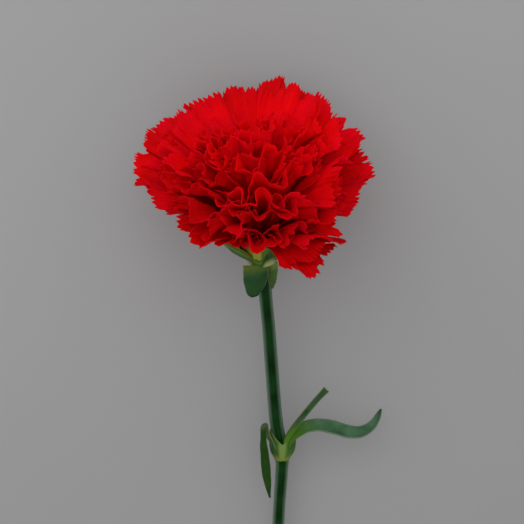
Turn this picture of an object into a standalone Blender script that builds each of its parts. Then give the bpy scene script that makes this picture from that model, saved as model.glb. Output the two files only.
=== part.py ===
"""A cut carnation lying on its side, in metres, +Z up.

The stem lies along Y with its cut end towards -Y, and the bloom is at the +Y end. The bloom rests on
its lower petals and the stem on its cut end, so the surface that the flower lies on is the plane z = 0.
The origin is the middle of the flower's footprint on that plane.

Places are given as on a drawing of the flower seen from above, in millimetres: x and y from the middle
of the calyx's mouth, and z from the surface. The empty "flower" puts that point where it belongs in the
part's frame, and the empty "head" below it carries the bloom and the calyx.
"""

import math
import random
from dataclasses import dataclass

import bmesh
import bpy
from mathutils import Euler, Vector

MM = 0.001
SEED = 94

# Where the middle of the calyx's mouth lies, so that the origin is the middle of the footprint.
MOUTH_X = -0.53
MOUTH_Y = 62.44
MOUTH_Z = 27.0

# The way the bloom faces, in degrees: up from the surface, and to the left of +Y.
HEAD_TILT = 30
HEAD_LEAN = 5

PETAL_THICKNESS = 0.7

# A soft petal that would pass through the surface bends away from this height down, and lies flat on it.
PRESS_FROM = 4.0
PRESS_TO = PETAL_THICKNESS / 2

# Whatever of the bloom is still lower than SPOT_FROM ends in one flat spot, which the bloom lies on.
SPOT_FROM = 0.6
SPOT_AT = 0.02

PETAL_CLAW = 0.12  # width of the narrow foot, as a share of the blade
PETAL_ROUNDING = 0.13  # how much shorter a petal's sides are than its middle
PETAL_FOOT_RADIUS = 4.0
TOOTH_DEPTH = 1.6
STAGGER = 3.5  # degrees by which neighbours in an inner whorl tilt apart from its mean
NOD = 6.0  # degrees by which the outer whorls lean over towards the surface
BEND_SWING = 0.16  # how much more the petals towards the surface bend

CALYX_WALL = 0.9
CALYX_SIDES = 40
CALYX_PROFILE = ((2.5, -7.4), (4.5, -6.6), (5.7, -4.8), (7.4, -2.4), (9.6, 0.0))  # radius, height
CALYX_FLARE = 52  # degrees that the lobes spread from the bloom's axis

CORE_GAP = 0.4
CORE_SIDES = 18
CORE_TOP = ((9.0, 2.5), (10.5, 7.5), (12.5, 13.5), (13.5, 20.0), (12.5, 27.0), (9.0, 33.0), (4.0, 36.0))

STEM_SIDES = 12
STEM_STEP = 4.0
STEM_RADIUS = 2.0
STEM_ROUTE = (
    (0.6, -6.7, 23.1),
    (1.2, -13.5, 19.9),
    (1.7, -20.0, 18.2),
    (2.7, -30.3, 16.8),
    (3.8, -45.0, 15.4),
    (5.2, -62.0, 13.9),
    (7.2, -73.0, 12.8),
    (7.2, -80.0, 12.0),
    (6.3, -94.0, 10.3),
    (5.6, -112.0, 8.4),
    (4.8, -140.0, 5.6),
    (2.6, -176.8, 1.9),
)

RED = (0.60, 0.004, 0.008)
CALYX_GREEN = (0.10, 0.17, 0.04)
STEM_GREEN = (0.045, 0.13, 0.055)
LEAF_GREEN = (0.07, 0.18, 0.085)
BRACT_GREEN = (0.05, 0.14, 0.065)
YELLOW_GREEN = (0.17, 0.25, 0.05)


@dataclass(frozen=True)
class Petal:
    """One petal: where it points, and the shape of its blade. Angles are in degrees."""

    azimuth: float  # round the bloom's axis: 0 is to the right, 90 towards the surface
    tilt: float  # of the line from foot to margin, from the bloom's axis
    reach: float  # from foot to margin
    half_width: float
    bend: float  # how far the blade turns outwards from foot to margin
    cup: float  # how far the sides rise towards the axis, as a share of the half width
    ruffle: float  # height of the waves at the margin
    waves: float  # half waves from side to side
    growth: float  # how much longer it is when it points towards the surface
    phase: float
    twist: float
    columns: int
    rows: int
    root: float  # where the blade leaves the core, as a share of its reach


@dataclass(frozen=True)
class Whorl:
    """A ring of like petals inside the outer ones."""

    count: int
    first: float
    tilt: float
    reach: float
    half_width: float
    bend: float
    cup: float
    ruffle: float
    waves: float
    growth: float
    columns: int
    rows: int
    root: float


def guard(azimuth, tilt, reach, half_width, phase, bend=40, ruffle=2.0, waves=2.6, twist=0):
    """An outer petal, set by hand."""
    return Petal(azimuth, tilt, reach, half_width, bend, -0.05, ruffle, waves, 0.12, phase, twist, 8, 4, 0.08)


GUARDS = (
    guard(azimuth=12, tilt=56, reach=43, half_width=12, phase=20),
    guard(azimuth=-15, tilt=53, reach=43, half_width=10, phase=160, twist=14),
    guard(azimuth=-37, tilt=52, reach=40, half_width=8.5, phase=40, twist=-8),
    guard(azimuth=-49, tilt=61, reach=41, half_width=8.5, phase=240, twist=10, bend=46),
    guard(azimuth=-61, tilt=74, reach=38.5, half_width=10, phase=300, bend=60),
    guard(azimuth=-102, tilt=51, reach=25, half_width=6, phase=0, ruffle=1.2),
    guard(azimuth=-99, tilt=50, reach=36, half_width=10, phase=80),
    guard(azimuth=-131, tilt=55, reach=39.5, half_width=7.5, phase=220, twist=-12),
    guard(azimuth=-150, tilt=50, reach=41, half_width=10, phase=100),
    guard(azimuth=-173, tilt=49, reach=48, half_width=10, phase=10),
    guard(azimuth=163, tilt=50, reach=47.5, half_width=11, phase=130),
    guard(azimuth=141, tilt=48, reach=50, half_width=12, phase=260),
    guard(azimuth=108, tilt=67, reach=45.5, half_width=14, phase=50),
    guard(azimuth=72, tilt=67, reach=45.5, half_width=14, phase=190),
    guard(azimuth=38, tilt=56, reach=42, half_width=12, phase=320),
)

WHORLS = (
    Whorl(10, 24, 44, 47.5, 12, 46, 0.08, 2.8, 3.0, 0.12, 8, 4, 0.20),
    Whorl(8, 5, 31, 51, 12, 42, 0.10, 3.0, 3.2, 0.06, 8, 3, 0.34),
    Whorl(6, 40, 19, 48, 11, 34, 0.12, 2.8, 3.4, -0.12, 8, 3, 0.48),
    Whorl(4, 10, 9, 45, 9, 26, 0.16, 2.6, 3.4, -0.06, 8, 3, 0.60),
)

# The calyx's lobes: azimuth, half width in degrees, and length.
LOBES = ((-172, 44, 6.4), (-67, 27, 3.4), (-8, 30, 3.6), (62, 38, 3.8), (128, 30, 4.2))


@dataclass(frozen=True)
class Station:
    """A place along a leaf: the middle of the blade there, and the vector from there to its edge."""

    middle: tuple[float, float, float]
    side: tuple[float, float, float]


LEAF_RIGHT = (
    Station((11.1, -71.0, 14.0), (0.5, -0.4, 1.6)),
    Station((12.6, -67.0, 15.2), (1.0, -0.9, 1.3)),
    Station((15.8, -63.8, 16.2), (0.7, -1.7, 0.8)),
    Station((20.3, -63.2, 16.4), (-0.1, -1.9, 0.9)),
    Station((25.4, -64.3, 15.6), (-0.4, -2.0, 0.9)),
    Station((30.7, -66.1, 14.3), (-0.3, -1.9, 0.8)),
    Station((34.9, -66.2, 13.0), (0.3, -1.7, 0.7)),
    Station((38.4, -64.4, 11.8), (0.8, -1.0, 0.5)),
    Station((40.6, -61.3, 10.9), (0.7, -0.4, 0.3)),
    Station((41.7, -58.8, 10.4), (0.3, -0.1, 0.1)),
)

LEAF_LEFT = (
    Station((2.9, -69.2, 14.8), (0.5, 0.8, 1.2)),
    Station((2.0, -67.3, 15.4), (0.7, 0.9, 1.0)),
    Station((1.4, -65.1, 16.3), (0.8, 0.8, 0.9)),
    Station((0.9, -63.8, 17.4), (1.2, 0.7, 0.4)),
    Station((0.6, -64.3, 18.5), (1.4, 0.5, 0.1)),
    Station((0.1, -67.4, 18.5), (1.4, 0.2, 0.0)),
    Station((0.4, -71.0, 17.8), (1.5, 0.2, 0.0)),
    Station((1.2, -76.0, 16.4), (1.6, 0.2, 0.0)),
    Station((1.9, -80.6, 14.6), (1.4, 0.2, 0.1)),
    Station((2.4, -85.3, 12.6), (1.0, 0.2, 0.1)),
    Station((3.1, -89.4, 11.0), (0.3, 0.1, 0.1)),
)

BRACT_FRONT = (
    Station((-1.7, -8.8, 28.2), (3.8, 0.4, -1.0)),
    Station((-1.9, -10.6, 27.2), (4.0, 0.4, -1.2)),
    Station((-2.0, -12.8, 25.8), (3.8, 0.2, -1.3)),
    Station((-2.2, -15.0, 24.4), (3.2, 0.1, -1.0)),
    Station((-2.6, -16.9, 23.0), (2.3, 0.0, -0.7)),
    Station((-2.9, -18.2, 21.9), (1.2, 0.0, -0.3)),
)

BRACT_BACK = (
    Station((4.7, -8.2, 21.4), (-0.9, -0.6, -2.0)),
    Station((4.6, -10.6, 20.6), (-0.9, -0.4, -2.2)),
    Station((4.6, -13.4, 19.6), (-0.8, -0.2, -1.8)),
    Station((4.5, -16.0, 18.6), (-0.3, 0.0, -0.6)),
)

SHOOT_ROUTE = ((9.7, -68.2, 16.8), (13.6, -61.5, 18.8), (16.6, -57.1, 19.9), (22.4, -50.1, 21.7))
SHOOT_RADIUS = 1.2
SHOOT_SIDES = 8

LEAF_THICKNESS = 0.7
LEAF_COLUMNS = 4
LEAF_STEP = 2.2
LEAF_KEEL = 0.35  # depth of the channel along a leaf, as a share of its half width


# ---------------------------------------------------------------- tools


def clear_scene():
    """Removes everything from the scene."""
    for item in list(bpy.data.objects):
        bpy.data.objects.remove(item)


def empty(name, location, rotation, parent=None):
    """A point that other objects hang from."""
    made = bpy.data.objects.new(name, None)
    made.location = location
    made.rotation_euler = rotation
    made.parent = parent
    bpy.context.scene.collection.objects.link(made)
    return made


def material(name, colour, roughness):
    """A plain Principled material."""
    made = bpy.data.materials.new(name)
    made.use_nodes = True
    shader = made.node_tree.nodes["Principled BSDF"]
    shader.inputs["Base Color"].default_value = (*colour, 1)
    shader.inputs["Roughness"].default_value = roughness
    return made


def solid(name, points, faces, finish, parent=None):
    """An object with one closed mesh, its faces pointing out. The points are in millimetres."""
    mesh = bpy.data.meshes.new(name)
    mesh.from_pydata([point * MM for point in points], [], faces)
    work = bmesh.new()
    work.from_mesh(mesh)
    bmesh.ops.recalc_face_normals(work, faces=work.faces)
    bmesh.ops.triangulate(work, faces=work.faces)
    work.to_mesh(mesh)
    work.free()
    mesh.materials.append(finish)
    made = bpy.data.objects.new(name, mesh)
    made.parent = parent
    bpy.context.scene.collection.objects.link(made)
    return made


def round_off(body):
    """Shades a round body smooth, but for its sharp edges."""
    body.data.shade_smooth()
    body.data.set_sharp_from_angle(angle=math.radians(50))


def smooth(route, step):
    """Points about one step apart on a smooth curve through the route's points."""
    ends = [route[0], *route, route[-1]]
    made = []
    for a, b, c, d in zip(ends, ends[1:], ends[2:], ends[3:]):
        length = math.dist(b[:3], c[:3])
        count = max(1, round(length / step))
        for k in range(count):
            t = k / count
            weights = (
                -t / 2 + t**2 - t**3 / 2,
                1 - 5 * t**2 / 2 + 3 * t**3 / 2,
                t / 2 + 2 * t**2 - 3 * t**3 / 2,
                -(t**2) / 2 + t**3 / 2,
            )
            near = list(zip(weights, (a, b, c, d)))
            made.append(tuple(sum(weight * spot[i] for weight, spot in near) for i in range(len(b))))
    made.append(tuple(route[-1]))
    return made


def blade(grid, thickness):
    """Points and triangles of a thin closed solid round a grid of points on its middle surface."""
    rows, columns = len(grid), len(grid[0])
    front, back = [], []
    for j in range(rows):
        for i in range(columns):
            across = grid[j][min(i + 1, columns - 1)] - grid[j][max(i - 1, 0)]
            along = grid[min(j + 1, rows - 1)][i] - grid[max(j - 1, 0)][i]
            normal = across.cross(along).normalized() * thickness / 2
            front.append(grid[j][i] + normal)
            back.append(grid[j][i] - normal)
    points = front + back
    under = rows * columns
    faces = []
    for j in range(rows - 1):
        for i in range(columns - 1):
            a = j * columns + i
            b, c, d = a + 1, a + columns + 1, a + columns
            faces += [(a, b, c), (a, c, d)]
            faces += [(under + c, under + b, under + a), (under + d, under + c, under + a)]
    edge = list(range(columns))
    edge += [j * columns + columns - 1 for j in range(1, rows)]
    edge += [(rows - 1) * columns + i for i in reversed(range(columns - 1))]
    edge += [j * columns for j in reversed(range(1, rows - 1))]
    for a, b in zip(edge, edge[1:] + edge[:1]):
        faces += [(b, a, under + a), (b, under + a, under + b)]
    return points, faces


def rings_solid(rings):
    """Points and faces of a closed solid through rings of as many points each, capped at both ends."""
    sides = len(rings[0])
    points = [spot for ring in rings for spot in ring]
    faces = []
    for j in range(len(rings) - 1):
        for k in range(sides):
            a, b = j * sides + k, j * sides + (k + 1) % sides
            faces += [(a, b, b + sides), (a, b + sides, a + sides)]
    faces.append(tuple(reversed(range(sides))))
    faces.append(tuple(range((len(rings) - 1) * sides, len(rings) * sides)))
    return points, faces


def tube(route, radius_at, sides, cut=0.0):
    """Points and faces of a tube along route, its radius radius_at(y) and its last end cut at a slant."""
    rings = []
    for number, spot in enumerate(route):
        before, after = route[max(number - 1, 0)], route[min(number + 1, len(route) - 1)]
        way = (Vector(after) - Vector(before)).normalized()
        side = way.cross(Vector((0, 0, 1))).normalized()
        up = side.cross(way)
        radius = radius_at(spot[1])
        slant = cut if number == len(route) - 1 else 0.0
        ring = []
        for k in range(sides):
            angle = 2 * math.pi * (k + 0.5) / sides
            rise = radius * math.sin(angle)
            ring.append(Vector(spot) + side * radius * math.cos(angle) + up * rise + way * slant * rise)
        rings.append(ring)
    return rings_solid(rings)


def fuse(name, pieces):
    """Joins the pieces into one closed body, with loose scraps and sealed hollows gone."""
    body, repeats = pieces[0], bpy.data.collections.new(name + "_repeats")
    for piece in pieces[1:]:
        bpy.context.scene.collection.objects.unlink(piece)
        repeats.objects.link(piece)
    bpy.context.scene.collection.children.link(repeats)
    join = body.modifiers.new("join", "BOOLEAN")
    join.operation = "UNION"
    join.solver = "MANIFOLD"
    join.operand_type = "COLLECTION"
    join.collection = repeats
    graph = bpy.context.evaluated_depsgraph_get()
    joined = bpy.data.meshes.new_from_object(body.evaluated_get(graph))
    body.modifiers.clear()
    body.data = joined
    for piece in pieces[1:]:
        bpy.data.objects.remove(piece)
    bpy.data.collections.remove(repeats)
    keep_largest_shell(joined)
    body.name = name
    return body


def keep_largest_shell(mesh):
    """Drops every shell of the mesh but the one with most corners."""
    work = bmesh.new()
    work.from_mesh(mesh)
    left, shells = set(work.verts), []
    while left:
        shell, edge = set(), [left.pop()]
        while edge:
            corner = edge.pop()
            shell.add(corner)
            for link in corner.link_edges:
                other = link.other_vert(corner)
                if other in left:
                    left.remove(other)
                    edge.append(other)
        shells.append(shell)
    shells.sort(key=len)
    for shell in shells[:-1]:
        bmesh.ops.delete(work, geom=list(shell), context="VERTS")
    bmesh.ops.triangulate(work, faces=work.faces)
    work.to_mesh(mesh)
    work.free()


# ---------------------------------------------------------------- bloom


def head_turn():
    """How the head is turned: Z along the bloom's axis, X to the right and Y towards the surface."""
    return Euler((math.radians(HEAD_TILT - 90), 0, math.radians(HEAD_LEAN)))


def pressed(point, turn):
    """The point of the head's frame moved up off the surface that the flower lies on, as a soft petal is."""
    above = (turn @ point).z + MOUTH_Z
    if above >= PRESS_FROM:
        return point
    depth = PRESS_FROM - PRESS_TO
    lifted = PRESS_TO + depth * max(0.0, 1 - (PRESS_FROM - above) / (2 * depth)) ** 2
    return point + turn.transposed() @ Vector((0, 0, lifted - above))


def petal_point(petal, along, across, tooth=0.0):
    """A point on a petal's middle surface, in the head's frame.

    along is 0 at the foot and 1 at the margin, and across is -1 to 1 from side to side.
    """
    tilt, azimuth = math.radians(petal.tilt), math.radians(petal.azimuth)
    bend = math.radians(petal.bend) * (1 + BEND_SWING * math.sin(azimuth))
    reach = petal.reach * (1 + petal.growth * math.sin(azimuth))
    share = along * (1 - PETAL_ROUNDING * across**2) + tooth / reach
    start = tilt - bend / 2
    angle = start + bend * share
    radius = PETAL_FOOT_RADIUS * math.sin(tilt) + reach / bend * (math.cos(start) - math.cos(angle))
    height = reach / bend * (math.sin(angle) - math.sin(start))

    half = petal.half_width * (PETAL_CLAW + (1 - PETAL_CLAW) * along**1.15)
    wave = math.pi * petal.waves * across / 2 + math.radians(petal.phase)
    flat = half * across + 0.3 * petal.ruffle * along**2 * math.cos(wave)
    lift = petal.cup * half * across**2 + petal.ruffle * along**2 * math.sin(wave)
    twist = math.radians(petal.twist) * along
    side = flat * math.cos(twist) - lift * math.sin(twist)
    rise = flat * math.sin(twist) + lift * math.cos(twist)

    outward = Vector((math.cos(azimuth), math.sin(azimuth), 0))
    sideways = Vector((-math.sin(azimuth), math.cos(azimuth), 0))
    axis = Vector((0, 0, 1))
    inward = axis * math.sin(angle) - outward * math.cos(angle)
    return outward * radius + axis * height + sideways * side + inward * rise


def petal_solid(name, petal, turn, finish):
    """A petal as a thin solid with a waved blade and a toothed margin, from inside the core outwards."""
    grid = []
    for j in range(petal.rows + 1):
        along = petal.root + (1 - petal.root) * j / petal.rows
        row = []
        for i in range(petal.columns + 1):
            across = -1 + 2 * i / petal.columns
            tooth = -TOOTH_DEPTH if j == petal.rows and i % 2 else 0.0
            row.append(pressed(petal_point(petal, along, across, tooth), turn))
        grid.append(row)
    points, faces = blade(grid, PETAL_THICKNESS)
    return solid(name, points, faces, finish)


def inner_petals():
    """The petals of the inner whorls, each a little different from its neighbours."""
    draw = random.Random(SEED)
    petals = []
    for whorl in WHORLS:
        for k in range(whorl.count):
            azimuth = whorl.first + 360 * k / whorl.count + draw.uniform(-7, 7)
            nod = NOD * whorl.tilt / 50 * math.sin(math.radians(azimuth))
            petals.append(
                Petal(
                    azimuth=azimuth,
                    tilt=whorl.tilt + nod + STAGGER * (-1) ** k + draw.uniform(-2, 2),
                    reach=whorl.reach + draw.uniform(-1.5, 1.5),
                    half_width=whorl.half_width * draw.uniform(0.9, 1.1),
                    bend=whorl.bend,
                    cup=whorl.cup,
                    ruffle=whorl.ruffle * draw.uniform(0.8, 1.2),
                    waves=whorl.waves * draw.uniform(0.9, 1.15),
                    growth=whorl.growth,
                    phase=draw.uniform(0, 360),
                    twist=draw.uniform(-16, 16),
                    columns=whorl.columns,
                    rows=whorl.rows,
                    root=whorl.root,
                )
            )
    return petals


def circle(radius, height, sides):
    """A ring of points round the bloom's axis."""
    turns = [2 * math.pi * k / sides for k in range(sides)]
    return [Vector((radius * math.cos(turn), radius * math.sin(turn), height)) for turn in turns]


def flatten(bloom, turn):
    """Brings the bloom's lowest corners into one level, the flat spot that it lies on."""
    up = turn.transposed() @ Vector((0, 0, 1))
    for vertex in bloom.data.vertices:
        above = (turn @ vertex.co).z / MM + MOUTH_Z
        if above < SPOT_FROM:
            vertex.co += up * (SPOT_AT - above) * MM


def make_bloom(head, finish):
    """All the petals, fused round the packed feet that fill the calyx."""
    turn = head_turn().to_matrix()
    inset = CALYX_WALL + CORE_GAP
    foot = [(radius - inset, height + inset / 2) for radius, height in CALYX_PROFILE]
    rings = [circle(radius, height, CORE_SIDES) for radius, height in [*foot, *CORE_TOP]]
    pieces = [solid("core", *rings_solid(rings), finish)]
    for number, petal in enumerate([*GUARDS, *inner_petals()]):
        pieces.append(petal_solid(f"petal_{number}", petal, turn, finish))
    bloom = fuse("bloom", pieces)
    flatten(bloom, turn)
    bloom.parent = head


# ---------------------------------------------------------------- calyx, stem and leaves


def lobe_length(turn):
    """How far the calyx's rim reaches past its mouth, at this azimuth in degrees."""
    longest = 0.4
    for azimuth, half_width, length in LOBES:
        away = abs((turn - azimuth + 180) % 360 - 180) / half_width
        if away < 1:
            longest = max(longest, length * (1 - away**1.6))
    return longest


def make_calyx(head, finish):
    """The cup that holds the petals, with its lobes spread."""
    flare = math.radians(CALYX_FLARE)
    walls = []
    for inset in (0.0, CALYX_WALL):
        rings = [circle(radius - inset, height + inset / 2, CALYX_SIDES) for radius, height in CALYX_PROFILE]
        for share in (0.5, 1.0):
            ring = []
            for k in range(CALYX_SIDES):
                turn = 2 * math.pi * k / CALYX_SIDES
                length = share * lobe_length(math.degrees(turn))
                radius = CALYX_PROFILE[-1][0] - inset + length * math.sin(flare)
                height = CALYX_PROFILE[-1][1] + inset / 2 + length * math.cos(flare)
                ring.append(Vector((radius * math.cos(turn), radius * math.sin(turn), height)))
            rings.append(ring)
        walls.append(rings)
    outer, inner = walls
    round_off(solid("calyx", *rings_solid([*outer, *reversed(inner)]), finish, head))


def stem_radius(y):
    """The stem swells at its two joints and under the calyx."""
    upper = 1.5 * math.exp(-(((y + 71.5) / 3.6) ** 2))
    lower = 1.1 * math.exp(-(((y + 140.0) / 3.2) ** 2))
    neck = 0.5 * math.exp(-(((y + 8.0) / 5.0) ** 2))
    return STEM_RADIUS + upper + lower - 0.3 * neck


def make_stem(flower, finish):
    """The whole stem, cut at a slant at its lower end."""
    points, faces = tube(smooth(STEM_ROUTE, STEM_STEP), stem_radius, STEM_SIDES, cut=0.7)
    round_off(solid("stem", points, faces, finish, flower))


def make_shoot(flower, finish):
    """The side shoot, cut off short."""
    points, faces = tube(smooth(SHOOT_ROUTE, 4.0), lambda y: SHOOT_RADIUS, SHOOT_SIDES)
    round_off(solid("side_shoot", points, faces, finish, flower))


def make_leaf(name, stations, flower, finish):
    """A leaf or bract: a blade channelled along its middle, through the stations."""
    grid = []
    for spot in smooth([(*station.middle, *station.side) for station in stations], LEAF_STEP):
        grid.append((Vector(spot[:3]), Vector(spot[3:])))
    rows = []
    for number, (middle, side) in enumerate(grid):
        before, after = grid[max(number - 1, 0)][0], grid[min(number + 1, len(grid) - 1)][0]
        keel = side.cross(after - before).normalized() * side.length * LEAF_KEEL
        row = []
        for i in range(LEAF_COLUMNS + 1):
            across = -1 + 2 * i / LEAF_COLUMNS
            row.append(middle + side * across - keel * (1 - across**2))
        rows.append(row)
    round_off(solid(name, *blade(rows, LEAF_THICKNESS), finish, flower))


def main():
    clear_scene()
    flower = empty("flower", Vector((MOUTH_X, MOUTH_Y, 0)) * MM, (0, 0, 0))
    head = empty("head", Vector((0, 0, MOUTH_Z)) * MM, head_turn(), flower)
    make_bloom(head, material("petal", RED, 0.6))
    make_calyx(head, material("calyx", CALYX_GREEN, 0.5))
    make_stem(flower, material("stem", STEM_GREEN, 0.5))
    make_shoot(flower, material("shoot", STEM_GREEN, 0.5))
    make_leaf("leaf_right", LEAF_RIGHT, flower, material("leaf", LEAF_GREEN, 0.55))
    make_leaf("leaf_left", LEAF_LEFT, flower, material("leaf_folded", LEAF_GREEN, 0.55))
    make_leaf("bract_front", BRACT_FRONT, flower, material("bract", BRACT_GREEN, 0.55))
    make_leaf("bract_back", BRACT_BACK, flower, material("young_bract", YELLOW_GREEN, 0.55))


main()
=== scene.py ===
"""A cut carnation lying on its side: fringed red petals, a spread calyx, and a waxy green stem and leaves.

Everything is in metres in the part's own frame, +Z up from the surface that the flower lies on. The flower is
laid out in millimetres as on a drawing seen from above: x and y from the middle of the calyx's mouth, and z
from the surface.
"""

import logging
import math
import random
from dataclasses import dataclass, field
from enum import Enum

import bmesh
import bpy
import numpy as np
from mathutils import Euler, Matrix, Vector


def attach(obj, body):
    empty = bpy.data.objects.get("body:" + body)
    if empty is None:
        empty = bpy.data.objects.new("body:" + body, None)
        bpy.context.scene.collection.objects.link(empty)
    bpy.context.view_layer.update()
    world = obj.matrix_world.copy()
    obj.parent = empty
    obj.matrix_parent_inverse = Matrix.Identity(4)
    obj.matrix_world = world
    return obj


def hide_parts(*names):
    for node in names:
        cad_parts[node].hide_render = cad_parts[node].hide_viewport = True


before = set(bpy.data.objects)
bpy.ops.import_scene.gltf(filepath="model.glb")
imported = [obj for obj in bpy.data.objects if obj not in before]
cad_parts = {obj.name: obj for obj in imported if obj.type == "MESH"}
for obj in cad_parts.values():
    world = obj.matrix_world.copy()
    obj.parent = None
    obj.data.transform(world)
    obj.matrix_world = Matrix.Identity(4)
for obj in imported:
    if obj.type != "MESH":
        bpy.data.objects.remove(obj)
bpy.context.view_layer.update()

log = logging.getLogger("carnation")

MM = 0.001

# The middle of the calyx's mouth, in the part's frame.
MOUTH = (-0.53, 62.44, 27.0)

Colour = tuple[float, float, float]
Numbers = tuple[float, ...]
Tree = bpy.types.NodeTree
Socket = bpy.types.NodeSocket
Body = bpy.types.Object
Material = bpy.types.Material
Palette = dict[str, Material]
Values = dict[int | str, object]

# The names of the UV map and of the attributes that shapes hand on to trees and finishes.
BLADE_UV = "blade_uv"
# Each petal's tone in the shade attribute: a random change, plus painted light on the heart and painted shade
# on the outer petals by the stem.
SHADE = "shade"
ALONG = "along"
AROUND = "around"

FLOAT = "NodeSocketFloat"
COLOUR = "NodeSocketColor"
VECTOR = "NodeSocketVector"
GEOMETRY = "NodeSocketGeometry"
MATERIAL = "NodeSocketMaterial"
SOCKET_KINDS = {float: FLOAT, int: "NodeSocketInt", tuple: COLOUR}


# ---------------------------------------------------------------- node trees


class Graph:
    """A node tree that is being built."""

    def __init__(self, tree: Tree) -> None:
        """Takes up the tree."""
        self.tree = tree

    def plug(self, socket: Socket, value: object) -> None:
        """Links an input to another socket, or sets it to a plain value.

        Args:
            socket: The input.
            value: The other socket, or the value.
        """
        if isinstance(value, Socket):
            self.tree.links.new(value, socket)
        elif isinstance(value, tuple) and socket.type == "RGBA":
            socket.default_value = (*value, 1)
        else:
            socket.default_value = value

    def add(self, kind: str, values: Values | None = None, **settings: object) -> bpy.types.Node:
        """Adds a node.

        Args:
            kind: The node's type.
            values: Its inputs by name or number, sockets or plain values.
            settings: Its own properties.

        Returns:
            The node.
        """
        node = self.tree.nodes.new(kind)
        for title, value in settings.items():
            setattr(node, title, value)
        for key, value in (values or {}).items():
            self.plug(node.inputs[key], value)
        return node

    def maths(self, operation: str, *values: object, clamp: bool = False) -> Socket:
        """The result of a Math node, kept between 0 and 1 where it is clamped."""
        node = self.add("ShaderNodeMath", dict(enumerate(values)), operation=operation, use_clamp=clamp)
        return node.outputs[0]

    def blend(self, factor: object, first: object, second: object) -> Socket:
        """A mix of two colours, the first where the factor is 0 and the second where it is 1."""
        return self.add("ShaderNodeMix", {"Factor": factor, 6: first, 7: second}, data_type="RGBA").outputs[2]

    def ranged(self, value: object, low: float, high: float) -> Socket:
        """A value from between two limits, turned into a smooth 0 to 1."""
        values = {"Value": value, "From Min": low, "From Max": high}
        return self.add("ShaderNodeMapRange", values, interpolation_type="SMOOTHSTEP").outputs["Result"]

    def noise(self, vector: object, scale: object, detail: float = 2.0) -> Socket:
        """A noise texture's value, with so many cells in a unit and so many finer layers."""
        values = {"Vector": vector, "Scale": scale, "Detail": detail}
        return self.add("ShaderNodeTexNoise", values).outputs["Fac"]


class Group(Graph):
    """A node group with inputs and outputs of its own."""

    def __init__(self, name: str, kind: str, inputs: Values, outputs: dict[str, str]) -> None:
        """Starts the group.

        Args:
            name: The group's name.
            kind: The tree's type.
            inputs: Each input's name with its default, or with its socket type where it has none.
            outputs: Each output's name with its socket type.
        """
        super().__init__(bpy.data.node_groups.new(name, kind))
        face = self.tree.interface
        for title, default in inputs.items():
            if isinstance(default, str):
                face.new_socket(title, in_out="INPUT", socket_type=default)
                continue
            socket = face.new_socket(title, in_out="INPUT", socket_type=SOCKET_KINDS[type(default)])
            socket.default_value = (*default, 1) if isinstance(default, tuple) else default
        for title, sort in outputs.items():
            face.new_socket(title, in_out="OUTPUT", socket_type=sort)
        self.given = self.add("NodeGroupInput").outputs
        self.result = self.add("NodeGroupOutput").inputs

    def give(self, **results: object) -> Tree:
        """Feeds the group's outputs, and gives its tree.

        Args:
            results: Each output's socket by name.

        Returns:
            The group's tree.
        """
        for title, value in results.items():
            self.plug(self.result[title], value)
        return self.tree


def vein_group() -> Tree:
    """Fine lines that run along a blade or a stem, spread evenly over the first coordinate.

    Returns:
        The group.
    """
    inputs = {"Vector": VECTOR, "Count": 20.0, "Wander": 0.3}
    group = Group("lengthwise_veins", "ShaderNodeTree", inputs, {"Mask": FLOAT, "Height": FLOAT})
    given = group.given
    across = group.add("ShaderNodeSeparateXYZ", {0: given["Vector"]}).outputs[0]
    drift = group.maths("MULTIPLY", group.noise(given["Vector"], 3.0), given["Wander"])
    place = group.maths("ADD", group.maths("MULTIPLY", across, given["Count"]), drift)
    wave = group.maths("SINE", group.maths("MULTIPLY", place, 2 * math.pi))
    height = group.maths("MULTIPLY_ADD", wave, 0.5, 0.5)
    return group.give(Height=height, Mask=group.maths("POWER", height, 3.0))


def mottle_group() -> Tree:
    """Soft uneven patches of a second colour over a first.

    Returns:
        The group.
    """
    inputs = {
        "Vector": VECTOR, "Scale": 80.0, "Amount": 0.5, "First": (0.5, 0.5, 0.5), "Second": (0.4, 0.4, 0.4)
    }
    group = Group("mottle", "ShaderNodeTree", inputs, {"Color": COLOUR, "Mask": FLOAT})
    given = group.given
    patches = group.ranged(group.noise(given["Vector"], given["Scale"], 3.0), 0.38, 0.66)
    mask = group.maths("MULTIPLY", patches, given["Amount"])
    return group.give(Mask=mask, Color=group.blend(mask, given["First"], given["Second"]))


def wax_group() -> Tree:
    """The grey wax that lies on carnation leaves and stems, rubbed off in places.

    Returns:
        The group.
    """
    inputs = {
        "Vector": VECTOR, "Scale": 220.0, "Amount": 0.5, "Under": (0.1, 0.2, 0.1), "Wax": (0.3, 0.4, 0.35)
    }
    group = Group("grey_wax", "ShaderNodeTree", inputs, {"Color": COLOUR, "Roughness": FLOAT})
    given = group.given
    broad = group.ranged(group.noise(given["Vector"], given["Scale"], 4.0), 0.25, 0.7)
    cover = group.maths("MULTIPLY", broad, given["Amount"], clamp=True)
    colour = group.blend(cover, given["Under"], given["Wax"])
    return group.give(Color=colour, Roughness=group.maths("MULTIPLY_ADD", cover, 0.3, 0.38))


@dataclass(frozen=True)
class ShaderGroups:
    """The effects that more than one finish uses, each built once."""

    veins: Tree = field(default_factory=vein_group)
    mottle: Tree = field(default_factory=mottle_group)
    wax: Tree = field(default_factory=wax_group)


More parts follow.
